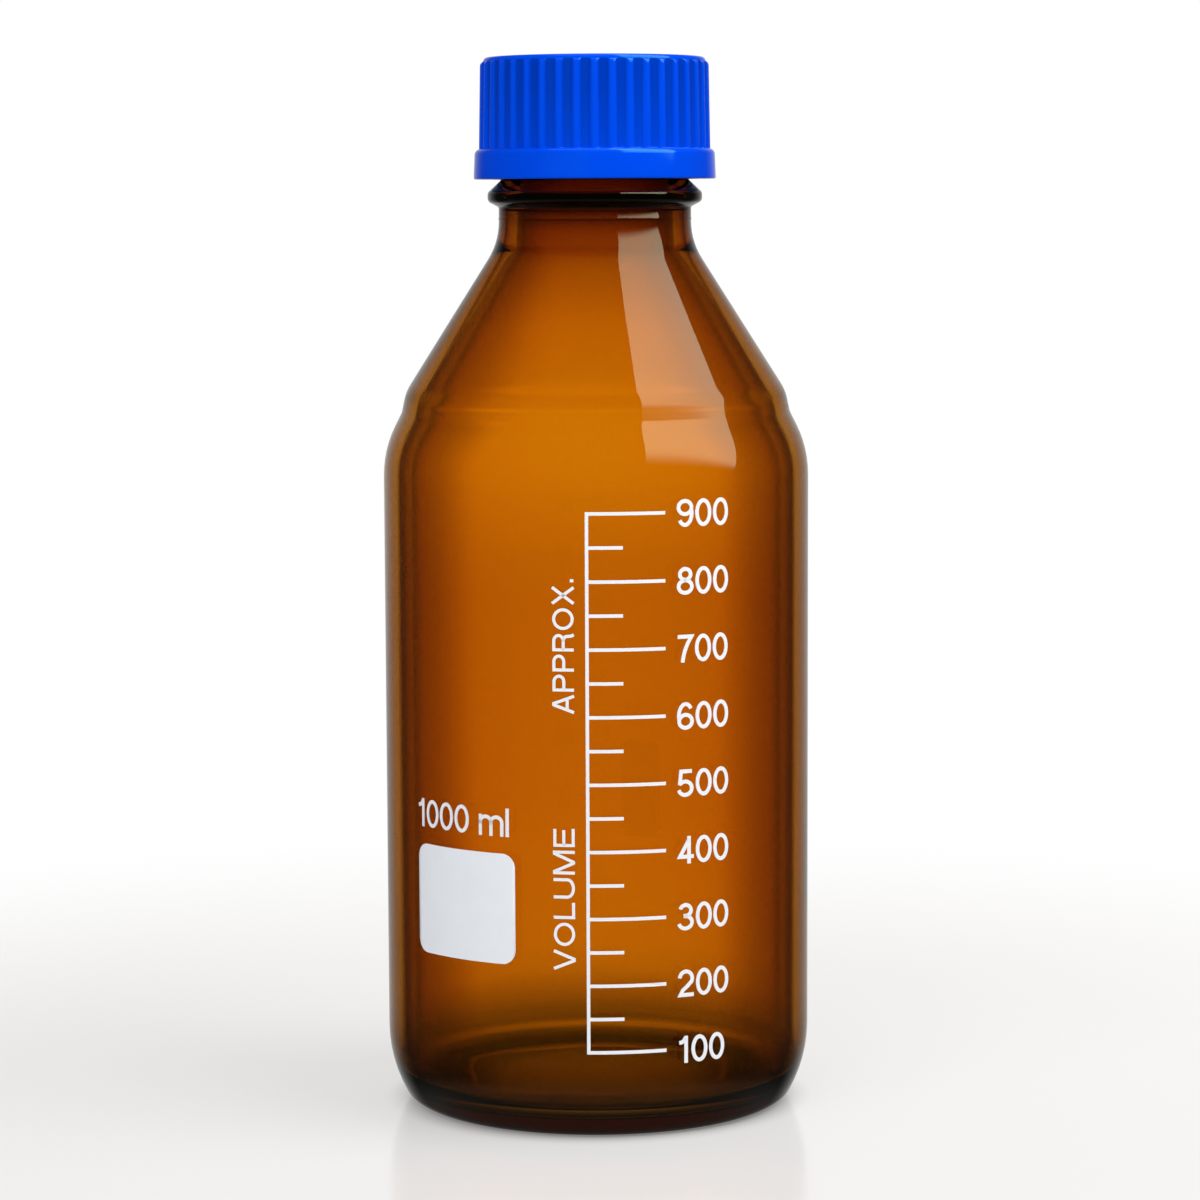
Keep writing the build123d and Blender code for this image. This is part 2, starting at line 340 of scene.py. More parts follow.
# What a wall of the glass lets through at each level in millimetres, with painted shade: dark at the foot and
# the neck, and a painted light line at the heel
GLASS_TINT_AND_SHADE = (
    (0.0, (0.1, 0.06, 0.1)), (5.6, (0.1, 0.06, 0.1)), (6.3, (0.66, 0.36, 0.1)), (6.9, (0.66, 0.36, 0.1)),
    (7.6, (0.15, 0.08, 0.1)), (11.0, (0.24, 0.13, 0.1)), (15.0, (0.46, 0.25, 0.2)), (20.0, (0.73, 0.42, 0.2)),
    (27.0, (0.84, 0.485, 0.2)), (60.0, (0.768, 0.41, 0.2)), (120.0, (0.755, 0.405, 0.2)),
    (155.0, (0.88, 0.545, 0.2)), (177.0, (0.81, 0.46, 0.2)), (190.0, (0.65, 0.34, 0.2)),
    (197.0, (0.48, 0.2, 0.2)), (201.0, (0.28, 0.1, 0.1)), (203.0, (0.2, 0.07, 0.1)),
    (210.0, (0.2, 0.07, 0.1)),
)
# Painted shade as the glass turns away from the eye, from square on to edge on: darker towards the edges than
# its depth makes it, with a thin painted dark line and a paler band outside it
GLASS_EDGE_SHADE = (
    (0.0, (1.0, 0.98)), (0.12, (0.97, 0.92)), (0.2, (0.93, 0.86)), (0.25, (0.78, 0.67)), (0.3, (0.63, 0.5)),
    (0.4, (0.43, 0.31)), (0.466, (0.4, 0.235)), (0.51, (0.33, 0.185)), (0.545, (0.23, 0.105)),
    (0.584, (0.08, 0.035)), (0.62, (0.06, 0.02)), (0.64, (0.22, 0.16)), (0.68, (0.25, 0.18)),
    (0.74, (0.17, 0.13)), (0.83, (0.13, 0.14)), (1.0, (0.12, 0.14)),
)


def amber_glass(glass):
    """Clear amber glass, darker the further light travels in it, with painted shade by level at the foot and
    the neck and painted shade towards its edges.
    """
    material = bpy.data.materials.new("amber_glass_blown")
    tree = Tree(material)
    level = tree.axis(tree.place(), 2) * (1.0 / (TINT_SPAN * MM))
    tints = [(height / TINT_SPAN, tint) for height, tint in GLASS_TINT_AND_SHADE]
    # Painted shade by level: dark at the foot and the neck, with a painted light line at the heel
    blown = tree.node("ShaderNodeValToRGB", {"stops": tints}, level)
    # Painted shade towards the edges, on top of the darkening that the glass's depth gives
    facing = tree.node("ShaderNodeLayerWeight", None, Blend=0.5, out=1)
    edge_shade_stops = [(turn, (red, green, red)) for turn, (red, green) in GLASS_EDGE_SHADE]
    turned = tree.node("ShaderNodeValToRGB", {"stops": edge_shade_stops}, facing)
    waves = tree.noise(26.0, 1.0, 0.4, (1.0, 1.0, 0.6))
    surface = tree.node(
        "ShaderNodeBsdfPrincipled", None, Base_Color=tree.mix(1.0, blown, turned, "MULTIPLY"),
        Roughness=0.0, IOR=1.5, Transmission_Weight=1.0, Specular_Tint=(1.0, 0.97, 0.62),
        Normal=tree.bump(waves, 0.25, 0.0008))
    depth = tree.node("ShaderNodeVolumeAbsorption", None, Color=tuple(glass.through),
                      Density=glass.depth)
    tree.finish(surface, depth)
    return material


def moulded_plastic(name, colour, gloss=0.07, groove=(0.0, 0.001), top=1.0):
    """Moulded polypropylene: glossy, slightly waxy, with a fine moulding grain.

    It has painted shade in the grooves, whose floor and crest radii are given, up to a top level.
    """
    material = bpy.data.materials.new(name)
    tree = Tree(material)
    cloud = tree.noise(90.0, 3.0, 0.5)
    grain = tree.noise(2600.0, 2.0, 0.6)
    place = tree.place()
    flat = tree.node("ShaderNodeVectorMath", {"operation": "MULTIPLY"}, place, (1.0, 1.0, 0.0))
    reach = tree.reach(flat)
    above = tree.axis(place, 2).math("GREATER_THAN", top)
    inside = reach.math("LESS_THAN", groove[0] - 0.5 * MM)
    plain = above.math("MAXIMUM", inside)
    # Painted shade: the colour dims to 0.58 towards the groove floors
    out = tree.ease(reach, *groove).math("MAXIMUM", plain)
    pale = tree.mix(cloud, dimmed(colour, 0.92), tuple(colour))
    surface = tree.node(
        "ShaderNodeBsdfPrincipled", None,
        Base_Color=tree.mix(out, dimmed(colour, 0.58), pale),
        Roughness=gloss + cloud * 0.05, IOR=1.62, Specular_Tint=(0.1, 0.8, 1.0),
        Normal=tree.bump(grain, 0.12, 0.00005))
    tree.finish(surface)
    return material


def fired_enamel(colour):
    """White glass enamel, screened and fired: satin, with a faintly uneven face."""
    material = bpy.data.materials.new("white_enamel_fired")
    tree = Tree(material)
    cloud = tree.noise(240.0, 3.0, 0.6)
    grain = tree.noise(3200.0, 2.0, 0.6)
    surface = tree.node(
        "ShaderNodeBsdfPrincipled", None,
        Base_Color=tree.mix(cloud, dimmed(colour, 0.94), tuple(colour)),
        Roughness=0.42 + cloud * 0.12, IOR=1.5,
        Normal=tree.bump(grain, 0.2, 0.00004))
    tree.finish(surface)
    return material


def seal_rubber(colour):
    """Soft seal disc: matt, with a fine grain."""
    material = bpy.data.materials.new("seal_rubber_soft")
    tree = Tree(material)
    cloud = tree.noise(300.0, 3.0, 0.6)
    surface = tree.node(
        "ShaderNodeBsdfPrincipled", None,
        Base_Color=tree.mix(cloud, dimmed(colour, 0.93), tuple(colour)),
        Roughness=0.6 + cloud * 0.1,
        Normal=tree.bump(cloud, 0.2, 0.0001))
    tree.finish(surface)
    return material


# Turned shapes


def step_in(point, rise, slope):
    """The point a rise higher, after leaning in at a slope from upright."""
    return (point[0] - rise * tan(slope), point[1] + rise)


def shifted(start, end, wall):
    """A wall's inner line: a point on it and its direction, for an outer line that runs up."""
    run, rise = end[0] - start[0], end[1] - start[1]
    length = hypot(run, rise)
    return (start[0] - wall * rise / length, start[1] + wall * run / length), (run / length, rise / length)


def inner_corner(below, corner, above, wall_below, wall_above):
    """Where the inner lines of two neighbouring stretches of wall meet."""
    first, along = shifted(below, corner, wall_below)
    second, other = shifted(corner, above, wall_above)
    cross = along[0] * other[1] - along[1] * other[0]
    gap = (second[0] - first[0], second[1] - first[1])
    reach = (gap[0] * other[1] - gap[1] * other[0]) / cross
    return (first[0] + reach * along[0], first[1] + reach * along[1])


def rounded_outline(corners, arc_step=radians(5.0)):
    """Points of an open outline of (radius, height, rounding) corners, each rounded by an arc."""
    points = [Vector((radius, 0.0, height)) for radius, height, _ in corners]
    setbacks = [0.0] * len(corners)
    for index in range(1, len(corners) - 1):
        before, here, after = points[index - 1:index + 2]
        turn = (here - before).angle(after - here)
        setbacks[index] = corners[index][2] * tan(turn / 2)
    outline = [points[0]]
    for index in range(1, len(corners) - 1):
        before, here, after = points[index - 1:index + 2]
        room = 1.0
        for start, end in ((index - 1, index), (index, index + 1)):
            wanted = setbacks[start] + setbacks[end]
            if wanted > 0.0:
                room = min(room, 0.97 * (points[end] - points[start]).length / wanted)
        back, ahead = (before - here).normalized(), (after - here).normalized()
        setback, rounding = setbacks[index] * room, corners[index][2] * room
        turn = pi - back.angle(ahead)
        if setback == 0.0:
            outline.append(here)
            continue
        middle = here + (back + ahead).normalized() * (rounding / cos(turn / 2))
        first = here + back * setback - middle
        axis = first.cross(here + ahead * setback - middle).normalized()
        count = max(2, ceil(turn / arc_step))
        for step in range(count + 1):
            outline.append(middle + Matrix.Rotation(turn * step / count, 3, axis) @ first)
    outline.append(points[-1])
    return outline


def turned_shell(outline, steps):
    """A closed shell from an outline that starts and ends on the axis or closes on itself."""
    bm = bmesh.new()
    verts = [bm.verts.new(point) for point in outline]
    edges = [bm.edges.new(pair) for pair in zip(verts, verts[1:])]
    bmesh.ops.spin(bm, geom=verts + edges, cent=(0, 0, 0), axis=(0, 0, 1), angle=2 * pi,
                   steps=steps, use_merge=True)
    bmesh.ops.remove_doubles(bm, verts=bm.verts, dist=1e-7)
    bmesh.ops.recalc_face_normals(bm, faces=bm.faces)
    return bm


def new_piece(name, bm, material, body, slot, *replaced):
    """Makes a smooth shaded object of a bmesh and hangs it on its body."""
    mesh = bpy.data.meshes.new(name)
    bm.to_mesh(mesh)
    bm.free()
    mesh.materials.append(material)
    mesh.shade_smooth()
    piece = bpy.data.objects.new(name, mesh)
    bpy.context.scene.collection.objects.link(piece)
    if body is None:
        return piece
    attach(piece, body)
    if replaced:
        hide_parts(*replaced)
    return piece


def sharp_piece(name, bm, material, body, slot, *replaced):
    """A new piece that keeps its sharp edges."""
    piece = new_piece(name, bm, material, body, slot, *replaced)
    piece.data.set_sharp_from_angle(angle=SHARP_ANGLE)


def cad_copy(node):
    """A merged copy of a CAD node's mesh."""
    bm = bmesh.new()
    bm.from_mesh(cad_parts[node].data)
    bmesh.ops.remove_doubles(bm, verts=bm.verts, dist=1e-6)
    return bm


# Section of the glass thread, in shares of its pitch, and how fast it fades, in parts of a turn
RIDGE_HALF, RIDGE_FLANK, RIDGE_FADE = 0.36, 0.2, 8.0


def helix_ridge(bm, glass, low, high):
    """Pushes the wall of the threaded glass out along a helix that fades at both ends."""
    start, turns, pitch = glass.thread_start, glass.thread_turns, glass.thread_pitch
    for vert in bm.verts:
        radius = hypot(vert.co.x, vert.co.y)
        if abs(radius - glass.finish_radius) > 0.01 * MM or not low < vert.co.z < high:
            continue
        angle = atan2(vert.co.y, vert.co.x) / (2 * pi)
        turn = round((vert.co.z - start) / pitch - angle) + angle
        off = abs(vert.co.z - start - turn * pitch) / pitch
        fade = max(0.0, min(1.0, turn * RIDGE_FADE, (turns - turn) * RIDGE_FADE))
        flank = max(0.0, min(1.0, (RIDGE_HALF - off) / RIDGE_FLANK))
        scale = 1.0 + glass.thread_height * fade * flank * flank * (3.0 - 2.0 * flank) / radius
        vert.co.x *= scale
        vert.co.y *= scale


def bottle_levels(glass):
    """Corners and levels of the glass that the cap and the rings also need."""
    heel = (glass.body_radius, glass.heel_height)
    shoulder = (glass.body_radius, glass.side_height)
    crease = step_in(shoulder, glass.shoulder_rise, glass.shoulder_slope)
    ridge = step_in(crease, glass.band_rise, glass.band_slope)
    cone_rise = (ridge[0] - glass.neck_radius) / tan(glass.cone_slope)
    neck = (glass.neck_radius, ridge[1] + cone_rise)
    bead_foot = (glass.neck_radius, neck[1] + glass.neck_rise)
    bead_low = (glass.bead_radius, bead_foot[1] + glass.bead_underside)
    bead_high = (glass.bead_radius, bead_low[1] + glass.bead_band)
    bead_top = bead_high[1] + (glass.bead_radius - glass.finish_radius) * tan(glass.bead_flank)
    finish_top = bead_top + glass.finish_rise
    return {
        "heel": heel, "shoulder": shoulder, "crease": crease, "ridge": ridge, "neck": neck,
        "bead_foot": bead_foot, "bead_low": bead_low, "bead_high": bead_high,
        "bead_top": bead_top, "finish_top": finish_top, "lip_foot": finish_top + glass.lip_step,
        "lip_top": finish_top + glass.lip_step + glass.lip_rise,
    }


def rows_between(low, high, count):
    """Levels spread evenly between two levels, without the ends."""
    return [low + (high - low) * step / count for step in range(1, count)]


def glass_outline(glass):
    """Outline from the middle of the underside, up the outside and down the inside."""
    at = bottle_levels(glass)
    soft = glass.soft_corner
    underside = [
        (0.0, glass.punt_rise, 0.0),
        (glass.punt_flat, glass.punt_rise, glass.punt_round),
        (glass.stand_radius - glass.stand_width, 0.0, glass.stand_round),
    ]
    seam = at["bead_foot"][1] - glass.seam_drop
    threaded = [(glass.finish_radius, level, 0.0) for level in
                rows_between(at["bead_top"] + soft, at["finish_top"] - soft, THREAD_ROWS)]
    outside = [
        (glass.stand_radius, 0.0, glass.foot_round),
        (*at["heel"], glass.heel_round),
        (*at["shoulder"], glass.shoulder_round),
        (at["crease"][0] + glass.crease_flow, at["crease"][1], glass.crease_round),
        (*at["ridge"], glass.ridge_round),
        (*at["neck"], glass.neck_round),
        (glass.neck_radius, seam - 2 * glass.seam_height, 0.0),
        (glass.neck_radius + glass.seam_height, seam, 0.0),
        (glass.neck_radius, seam + 2 * glass.seam_height, 0.0),
        (*at["bead_foot"], soft),
        (*at["bead_low"], glass.bead_round),
        (*at["bead_high"], glass.bead_round),
        (glass.finish_radius, at["bead_top"], soft),
        *threaded,
        (glass.finish_radius, at["finish_top"], soft),
        (glass.lip_radius, at["lip_foot"], soft),
        (glass.lip_radius, at["lip_top"], glass.lip_round),
    ]
    inner_neck = inner_corner(at["ridge"], at["neck"], at["bead_foot"], glass.cone_wall, glass.neck_wall)
    inner_ridge = inner_corner(at["crease"], at["ridge"], at["neck"], glass.shoulder_wall, glass.cone_wall)
    inner_crease = inner_corner(at["shoulder"], at["crease"], at["ridge"],
                                glass.shoulder_wall, glass.shoulder_wall)
    inner_shoulder = inner_corner(at["heel"], at["shoulder"], at["crease"],
                                  glass.side_wall, glass.shoulder_wall)
    floor = glass.punt_rise + glass.floor_thickness
    soft_in = glass.inner_round
    inside = [
        (glass.mouth_radius, at["lip_top"], glass.lip_round),
        (glass.mouth_radius, at["bead_top"], soft_in),
        (inner_neck[0], at["bead_foot"][1], soft_in),
        (*inner_neck, soft_in),
        (*inner_ridge, soft_in),
        (*inner_crease, soft_in),
        (*inner_shoulder, glass.shoulder_round),
        (glass.body_radius - glass.side_wall, glass.floor_thickness, glass.floor_round),
        (glass.punt_flat, floor, glass.punt_round),
        (0.0, floor, 0.0),
    ]
    return rounded_outline(underside + outside + inside)


class BOTTLE_OT_glass(bpy.types.Operator):
    """Turn the blown glass with its moulded thread"""

    bl_idname = "media_bottle.glass"
    bl_label = "Glass bottle"

    def execute(self, context):
        glass = context.scene.media_bottle.glass
        bm = turned_shell(glass_outline(glass), GLASS_STEPS)
        at = bottle_levels(glass)
        helix_ridge(bm, glass, at["bead_top"], at["finish_top"])
        new_piece("bottle_glass", bm, amber_glass(glass), "bottle", "amber_glass", "glass_bottle")
        return {"FINISHED"}


# Cap

NOSE_ROWS = 10            # rows of facets round the upper end of a rib
LEDGE_ROUND = 0.25 * MM   # where the grooves meet the flange
BORE_ROUND = 0.15 * MM    # small corners of the bore
# Section of the cap's thread: half widths at root and crest, in shares of its pitch, and how fast it fades
ROOT_HALF, CREST_HALF, THREAD_FADE = 0.3, 0.08, 5.0


def rib_profile(across, cap):
    """Height of a rib over its groove, at a distance across from the rib's middle."""
    sunk = cap.rib_radius - cap.rib_height
    side = sqrt(max(0.0, cap.rib_radius ** 2 - across ** 2)) - sunk
    blend = cap.rib_blend
    lift = max(0.0, min(1.0, 0.5 + 0.5 * side / blend))
    return side * lift + blend * lift * (1.0 - lift)


def raise_ribs(bm, cap, low, high):
    """Pushes the skirt out into a round rib with a bull-nosed upper end."""
    pitch = 2 * pi / cap.rib_count
    for vert in bm.verts:
        radius = hypot(vert.co.x, vert.co.y)
        if radius < cap.bore_radius + 0.5 * cap.wall or not low < vert.co.z < high:
            continue
        across = abs(atan2(vert.co.y, vert.co.x)) * radius
        push = rib_profile(min(across, pitch * radius / 2), cap)
        nose = max(0.0, 1.0 - (high - vert.co.z) / cap.rib_radius)
        push = min(push, cap.rib_height * sqrt(1.0 - nose * nose))
        vert.co.x *= 1.0 + push / radius
        vert.co.y *= 1.0 + push / radius


def cap_outline(cap, bottom, seal_top):
    """Outline of the cap from the middle of its top, down the outside and up the bore."""
    top = seal_top + cap.top_wall
    ledge = bottom + cap.flange_rise
    groove_top = cap.bore_radius + cap.wall
    groove_foot = groove_top + (top - ledge) * tan(cap.draft)
    flange = groove_foot + cap.flange_width
    rib_top = top - cap.rib_drop
    nose = [rib_top - cap.rib_radius * (1 - cos(pi / 2 * step / NOSE_ROWS))
            for step in range(NOSE_ROWS, 0, -1)]
    levels = [ledge + 0.1 * MM, *nose, rib_top]
    skirt = [(groove_foot + (groove_top - groove_foot) * (level - ledge) / (top - ledge), level, 0.0)
             for level in levels]
    corners = [
        (0.0, top, 0.0),
        (groove_top * 0.5, top, 0.0),
        (groove_top, top, cap.edge_round),
        *reversed(skirt),
        (groove_foot, ledge, LEDGE_ROUND),
        (flange - cap.flange_rise * tan(cap.flange_draft), ledge, cap.flange_round),
        (flange, bottom, cap.rim_round),
        (cap.bore_radius + cap.lead_in, bottom, BORE_ROUND),
        (cap.bore_radius, bottom + cap.lead_in, BORE_ROUND),
        (cap.bore_radius, seal_top, BORE_ROUND),
        (0.0, seal_top, 0.0),
    ]
    return rounded_outline(corners, radians(9.0)), ledge, rib_top


def inner_thread(cap, pitch):
    """A helical ridge sunk in the bore, tapering into the wall at both ends."""
    bm = bmesh.new()
    root = cap.bore_radius + 0.2 * MM
    crest = cap.bore_radius - cap.thread_height
    section = ((root, -ROOT_HALF), (crest, -CREST_HALF), (crest, CREST_HALF), (root, ROOT_HALF))
    verts = [bm.verts.new((radius, 0.0, cap.thread_start + rise * pitch)) for radius, rise in section]
    face = bm.faces.new(verts)
    steps = ceil(THREAD_STEPS * cap.thread_turns)
    bmesh.ops.spin(bm, geom=[*verts, *face.edges, face], cent=(0, 0, 0), axis=(0, 0, 1),
                   dvec=(0, 0, pitch * cap.thread_turns / steps), angle=2 * pi * cap.thread_turns,
                   steps=steps)
    for vert in bm.verts:
        radius = hypot(vert.co.x, vert.co.y)
        turn = (vert.co.z - cap.thread_start) / pitch
        fade = max(0.0, min(1.0, turn * THREAD_FADE, (cap.thread_turns - turn) * THREAD_FADE))
        scale = (root + (radius - root) * fade) / radius
        vert.co.x *= scale
        vert.co.y *= scale
    bmesh.ops.recalc_face_normals(bm, faces=bm.faces)
    return bm


class BOTTLE_OT_cap(bpy.types.Operator):
    """Mould the ribbed screw cap"""

    bl_idname = "media_bottle.cap"
    bl_label = "Screw cap"

    def execute(self, context):
        settings = context.scene.media_bottle
        cap = settings.cap
        bottom = bottle_levels(settings.glass)["bead_top"] + cap.gap
        outline, ledge, rib_top = cap_outline(cap, bottom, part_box("cap_liner")[1].z)
        pitch = 2 * pi / cap.rib_count
        bm = bmesh.new()
        verts = [bm.verts.new(Matrix.Rotation(-pitch / 2, 3, "Z") @ point) for point in outline]
        edges = [bm.edges.new(pair) for pair in zip(verts, verts[1:])]
        bmesh.ops.spin(bm, geom=verts + edges, cent=(0, 0, 0), axis=(0, 0, 1), angle=pitch,
                       steps=RIB_STEPS)
        raise_ribs(bm, cap, ledge, rib_top)
        bmesh.ops.spin(bm, geom=bm.verts[:] + bm.edges[:] + bm.faces[:], cent=(0, 0, 0), axis=(0, 0, 1),
                       angle=2 * pi - pitch, steps=cap.rib_count - 1, use_duplicate=True)
        bmesh.ops.remove_doubles(bm, verts=bm.verts, dist=1e-6)
        bmesh.ops.recalc_face_normals(bm, faces=bm.faces)
        # The grooves get painted shade in the cap's colour
        groove = cap.bore_radius + cap.wall
        plastic = moulded_plastic("cap_plastic_blue", tuple(cap.colour),
                                  groove=(groove, groove + cap.rib_height), top=rib_top)
        new_piece("cap_moulded", bm, plastic, "cap", "cap_plastic", "screw_cap")
        thread = inner_thread(cap, settings.glass.thread_pitch)
        new_piece("cap_thread", thread, plastic, "cap", "cap_plastic")
        return {"FINISHED"}


class BOTTLE_OT_seal(bpy.types.Operator):
    """Finish the seal disc and the pouring ring under the cap"""

    bl_idname = "media_bottle.seal"
    bl_label = "Seal disc and pouring ring"

    def execute(self, context):
        cap = context.scene.media_bottle.cap
        for name, node, body, slot, material in (
            ("seal_disc", "cap_liner", "seal", "seal_rubber", seal_rubber(tuple(cap.seal_colour))),
            ("ring_moulded", "pouring_ring", "bottle", "ring_plastic",
             moulded_plastic("ring_plastic_blue", tuple(cap.colour), 0.34)),
        ):
            sharp_piece(name, cad_copy(node), material, body, slot, node)
        return {"FINISHED"}


# Print


def arc(centre_x, centre_y, radius_x, radius_y, start, end, count=20):
    """Points of an elliptical arc, angles in degrees."""
    turn = [radians(start + (end - start) * step / count) for step in range(count + 1)]
    return [(centre_x + radius_x * cos(a), centre_y + radius_y * sin(a)) for a in turn]


def ring(centre_x, centre_y, radius_x, radius_y):
    """A closed oval: its first point comes again at the end."""
    return arc(centre_x, centre_y, radius_x, radius_y, 0, 360, 40)


MARK_COUNT = 9            # hundreds on the scale
FIGURE_DROP = 0.2 * MM    # how far the middle of a numeral stands below its mark
# Words that run up beside the scale: text, level of its start, length
WORDS = (("APPROX.", 94.9 * MM, 29.4 * MM), ("VOLUME", 38.5 * MM, 31.2 * MM))
# Middle lines of the figures and letters, for a height of 1 and a line 0.14 wide: (width, strokes)
STROKE = 0.14
SIX = [ring(0.335, 0.305, 0.255, 0.235), arc(0.335, 0.5, 0.265, 0.43, 195, 38)]
FIGURES = {
    "0": (0.66, [ring(0.33, 0.5, 0.26, 0.43)]),
    "1": (0.47, [[(0.33, 0.0), (0.33, 1.0)], [(0.06, 0.755), (0.17, 0.77), (0.26, 0.84), (0.3, 0.93)]]),
    "2": (0.66, [[*arc(0.33, 0.67, 0.25, 0.26, 175, -28), (0.4, 0.4), (0.2, 0.24), (0.11, 0.07),
                  (0.64, 0.07)]]),
    "3": (0.66, [[*arc(0.32, 0.73, 0.215, 0.2, 165, -90), (0.24, 0.53)],
                 arc(0.315, 0.295, 0.26, 0.225, 100, -168)]),
    "4": (0.66, [[(0.65, 0.26), (0.1, 0.26), (0.46, 0.88)], [(0.46, 0.0), (0.46, 1.0)]]),
    "5": (0.66, [[(0.58, 0.93), (0.15, 0.93), (0.105, 0.5), *arc(0.315, 0.315, 0.26, 0.245, 135, -165)]]),
    "6": (0.66, SIX),
    "7": (0.64, [[(0.03, 0.93), (0.57, 0.93), (0.42, 0.68), (0.31, 0.42), (0.25, 0.2), (0.22, 0.0)]]),
    "8": (0.66, [ring(0.33, 0.735, 0.21, 0.195), ring(0.33, 0.295, 0.26, 0.225)]),
    "9": (0.66, [[(0.66 - x, 1.0 - y) for x, y in stroke] for stroke in SIX]),
    "m": (1.0, [[(0.07, 0.0), (0.07, 0.74)],
                [(0.07, 0.4), *arc(0.285, 0.48, 0.215, 0.19, 180, 0), (0.5, 0.0)],
                [(0.5, 0.4), *arc(0.715, 0.48, 0.215, 0.19, 180, 0), (0.93, 0.0)]]),
    "l": (0.14, [[(0.07, 0.0), (0.07, 1.0)]]),
    "A": (0.88, [[(0.06, 0.0), (0.41, 0.95), (0.47, 0.95), (0.82, 0.0)], [(0.2, 0.32), (0.68, 0.32)]]),
    "P": (0.78, [[(0.07, 0.0), (0.07, 0.93), (0.45, 0.93), *arc(0.45, 0.7, 0.26, 0.23, 80, -80), (0.45, 0.47),
                  (0.07, 0.47)]]),
    "R": (0.84, [[(0.07, 0.0), (0.07, 0.93), (0.48, 0.93), *arc(0.48, 0.71, 0.25, 0.22, 80, -80),
                  (0.48, 0.49), (0.07, 0.49)],
                 [(0.48, 0.49), (0.63, 0.45), (0.69, 0.36), (0.71, 0.12), (0.77, 0.0)]]),
    "O": (1.0, [ring(0.5, 0.5, 0.43, 0.43)]),
    "X": (0.88, [[(0.07, 0.0), (0.81, 1.0)], [(0.07, 1.0), (0.81, 0.0)]]),
    "V": (0.88, [[(0.06, 1.0), (0.41, 0.05), (0.47, 0.05), (0.82, 1.0)]]),
    "L": (0.72, [[(0.07, 1.0), (0.07, 0.07), (0.7, 0.07)]]),
    "U": (0.88, [[(0.07, 1.0), (0.07, 0.38), *arc(0.44, 0.36, 0.37, 0.29, 180, 360), (0.81, 0.38),
                  (0.81, 1.0)]]),
    "M": (1.02, [[(0.07, 0.0), (0.07, 0.95), (0.13, 0.95), (0.49, 0.06), (0.53, 0.06), (0.89, 0.95),
                  (0.95, 0.95), (0.95, 0.0)]]),
    "E": (0.78, [[(0.76, 0.93), (0.07, 0.93), (0.07, 0.07), (0.78, 0.07)], [(0.07, 0.51), (0.72, 0.51)]]),
    ".": (0.18, [[(0.09, 0.0), (0.09, 0.17)]]),
    " ": (0.28, []),
}


def written(text, height, gap):
    """Middle lines of a line of text and its length, from its lower left corner."""
    strokes, pen = [], 0.0
    for sign in text:
        width, lines = FIGURES[sign]
        strokes += [[((x + pen) * height, y * height) for x, y in line] for line in lines]
        pen += width + gap
    return strokes, (pen - gap) * height


def write(bm, text, height, gap, corner, length=None, upright=False, weight=1.0):
    """Draws a line of text from its lower left corner, running along or up, stretched to a length."""
    strokes, natural = written(text, height, gap)
    stretch = (length or natural) / natural
    for stroke in strokes:
        line = [(x * stretch, y) for x, y in stroke]
        if upright:
            line = [(-y, x) for x, y in line]
        ribbon(bm, [(x + corner[0], y + corner[1]) for x, y in line], weight * STROKE * height)


def ribbon(bm, line, width):
    """A flat strip along a middle line, with mitred corners and square ends."""
    closed = hypot(line[0][0] - line[-1][0], line[0][1] - line[-1][1]) < 1e-9
    points = [Vector((x, y, 0.0)) for x, y in (line[:-1] if closed else line)]
    count = len(points)
    pairs = []
    for index, point in enumerate(points):
        before = points[index - 1] if closed or index else None
        after = points[(index + 1) % count] if closed or index < count - 1 else None
        ways = [(point - before).normalized()] if before is not None else []
        ways += [(after - point).normalized()] if after is not None else []
        way = sum(ways, Vector()).normalized()
        side = Vector((-way.y, way.x, 0.0)) * (width / 2 / max(0.35, way.dot(ways[0])))
        pairs.append((bm.verts.new(point + side), bm.verts.new(point - side)))
    following = pairs[1:] + pairs[:1] if closed else pairs[1:]
    for (left, right), (next_left, next_right) in zip(pairs, following):
        bm.faces.new((left, right, next_right, next_left))


def wrap_round(bm, enamel, radius):
    """Thickens flat strips and wraps them round the glass: x runs round it and y up it."""
    low = min(vert.co.x for vert in bm.verts)
    high = max(vert.co.x for vert in bm.verts)
    for place in rows_between(low, high, max(2, ceil((high - low) / (0.6 * MM)))):
        bmesh.ops.bisect_plane(bm, geom=bm.verts[:] + bm.edges[:] + bm.faces[:], dist=1e-8,
                               plane_co=(place, 0, 0), plane_no=(1, 0, 0))
    sheet = bm.faces[:]
    raised = bmesh.ops.extrude_face_region(bm, geom=sheet, use_keep_orig=True)
    for vert in (item for item in raised["geom"] if isinstance(item, bmesh.types.BMVert)):
        vert.co.z = enamel.thickness + enamel.sink
    for vert in bm.verts:
        angle = vert.co.x / radius
        out = radius - enamel.sink + vert.co.z
        vert.co = (out * sin(angle), -out * cos(angle), vert.co.y)
    bmesh.ops.recalc_face_normals(bm, faces=bm.faces)


def printed(name, bm, enamel, radius, material):
    """Wraps flat strips round the glass as one sharp edged piece of enamel."""
    wrap_round(bm, enamel, radius)
    sharp_piece(name, bm, material, "bottle", "white_enamel")


